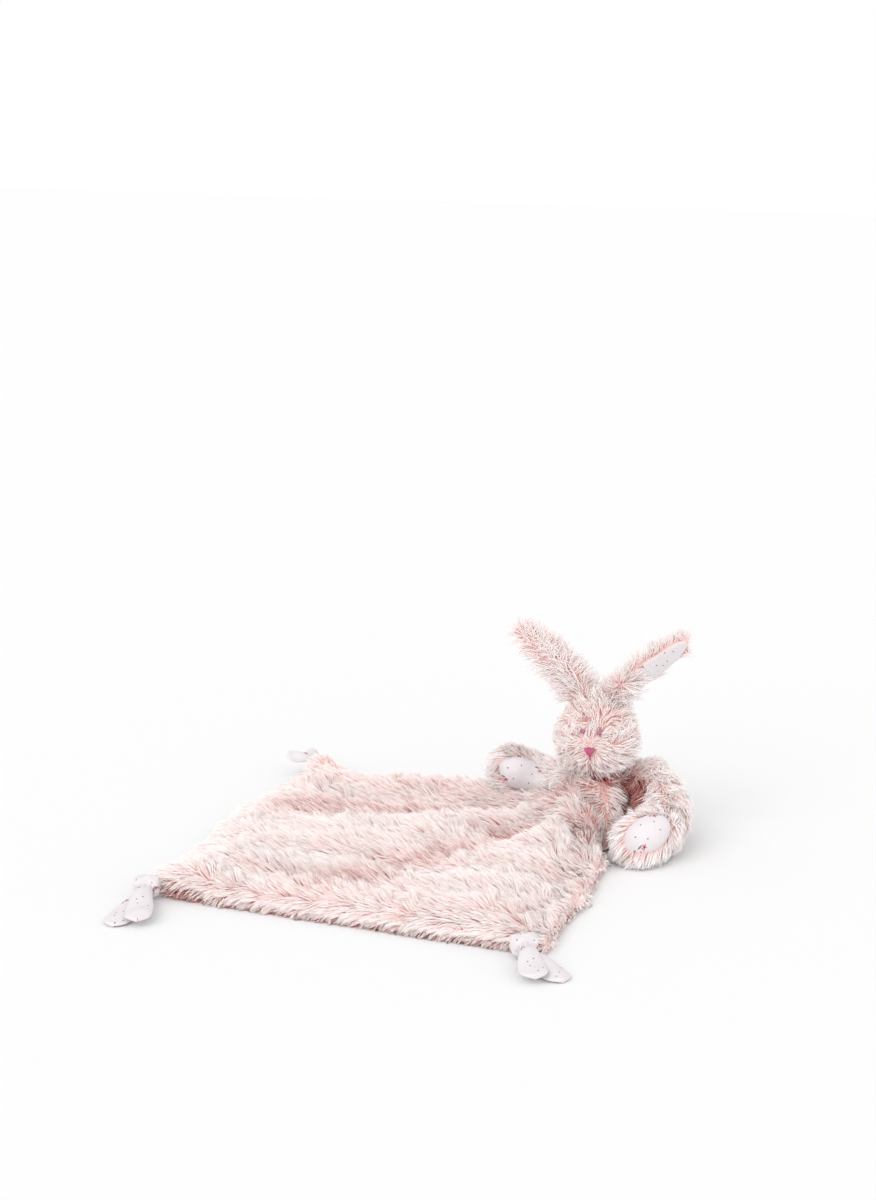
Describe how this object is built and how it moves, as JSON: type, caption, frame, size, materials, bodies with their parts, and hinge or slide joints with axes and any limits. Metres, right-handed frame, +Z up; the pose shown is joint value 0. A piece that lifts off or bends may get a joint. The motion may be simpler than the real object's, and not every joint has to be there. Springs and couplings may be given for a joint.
{
  "type": "rabbit comforter",
  "caption": "Soft plush comforter blanket gathered at one corner into a stuffed rabbit with long ears and padded paws, with knotted cotton ties at its free corners.",
  "frame": {"origin": "middle of the blanket's square, on the floor it lies on", "axes": "+X from the front left tie to the front right tie, +Y from the front left tie to the back left tie, +Z up. The rabbit is at the +X +Y corner."},
  "size_m": [0.363, 0.388, 0.1561],
  "materials": {
    "plush": "long pile plush",
    "printed_cotton": "woven cotton with a small scattered print",
    "filling": "loose fibre",
    "nose_thread": "satin stitch",
    "eye_thread": "satin stitch"
  },
  "bodies": {
    "blanket_and_body": {"blanket_back_layer": "plush", "blanket_top_layer": "plush", "body_cover": "plush", "body_filling": "filling", "tie_front_left_tab": "printed_cotton", "tie_front_right_tab": "printed_cotton", "tie_back_left_tab": "printed_cotton"},
    "neck": {"neck_gather": "plush"},
    "head": {"head_cover": "plush", "head_filling": "filling", "eye_left": "eye_thread", "eye_right": "eye_thread", "nose": "nose_thread", "mouth_stitch": "nose_thread"},
    "ear_left": {"ear_left_back": "plush", "ear_left_lining": "printed_cotton"},
    "ear_right": {"ear_right_back": "plush", "ear_right_lining": "printed_cotton"},
    "arm_left": {"arm_left_cover": "plush", "arm_left_filling": "filling", "paw_pad_left": "printed_cotton"},
    "arm_right": {"arm_right_cover": "plush", "arm_right_filling": "filling", "paw_pad_right": "printed_cotton"},
    "tie_front_left": {"tie_front_left_knot": "printed_cotton", "tie_front_left_upper_tail": "printed_cotton", "tie_front_left_lower_tail": "printed_cotton"},
    "tie_front_right": {"tie_front_right_knot": "printed_cotton", "tie_front_right_upper_tail": "printed_cotton", "tie_front_right_lower_tail": "printed_cotton"},
    "tie_back_left": {"tie_back_left_knot": "printed_cotton", "tie_back_left_upper_tail": "printed_cotton", "tie_back_left_lower_tail": "printed_cotton"}
  },
  "joints": [
    {"name": "head_turn", "type": "hinge", "parent": "blanket_and_body", "child": "neck", "pos_m": [0.09, 0.102, 0.05], "axis": [0, 0, 1], "range_deg": [-40, 40]},
    {"name": "head_nod", "type": "hinge", "parent": "neck", "child": "head", "pos_m": [0.09, 0.102, 0.05], "axis": [0.9877, 0.1564, 0], "range_deg": [-12, 18]},
    {"name": "ear_left_flop", "type": "hinge", "parent": "head", "child": "ear_left", "pos_m": [0.1028, 0.10403, 0.11079], "axis": [0.1564, -0.9877, 0], "range_deg": [-25, 45]},
    {"name": "ear_right_flop", "type": "hinge", "parent": "head", "child": "ear_right", "pos_m": [0.0772, 0.09997, 0.11079], "axis": [-0.1564, 0.9877, 0], "range_deg": [-35, 40]},
    {"name": "arm_left_lift", "type": "hinge", "parent": "blanket_and_body", "child": "arm_left", "pos_m": [0.10455, 0.1147, 0.036], "axis": [0.3907, -0.9205, 0], "range_deg": [0, 20]},
    {"name": "arm_right_lift", "type": "hinge", "parent": "blanket_and_body", "child": "arm_right", "pos_m": [0.0692, 0.10403, 0.036], "axis": [-0.3907, 0.9205, 0], "range_deg": [-5, 40]},
    {"name": "tie_front_left_lift", "type": "hinge", "parent": "blanket_and_body", "child": "tie_front_left", "pos_m": [-0.15171, -0.15319, 0.0095], "axis": [-0.9703, -0.2419, 0], "range_deg": [0, 75]},
    {"name": "tie_front_right_lift", "type": "hinge", "parent": "blanket_and_body", "child": "tie_front_right", "pos_m": [0.13192, -0.15582, 0.0095], "axis": [-0.766, -0.6428, 0], "range_deg": [0, 75]},
    {"name": "tie_back_left_lift", "type": "hinge", "parent": "blanket_and_body", "child": "tie_back_left", "pos_m": [-0.16519, 0.15171, 0.0095], "axis": [0.342, 0.9397, 0], "range_deg": [-15, 55]}
  ]
}
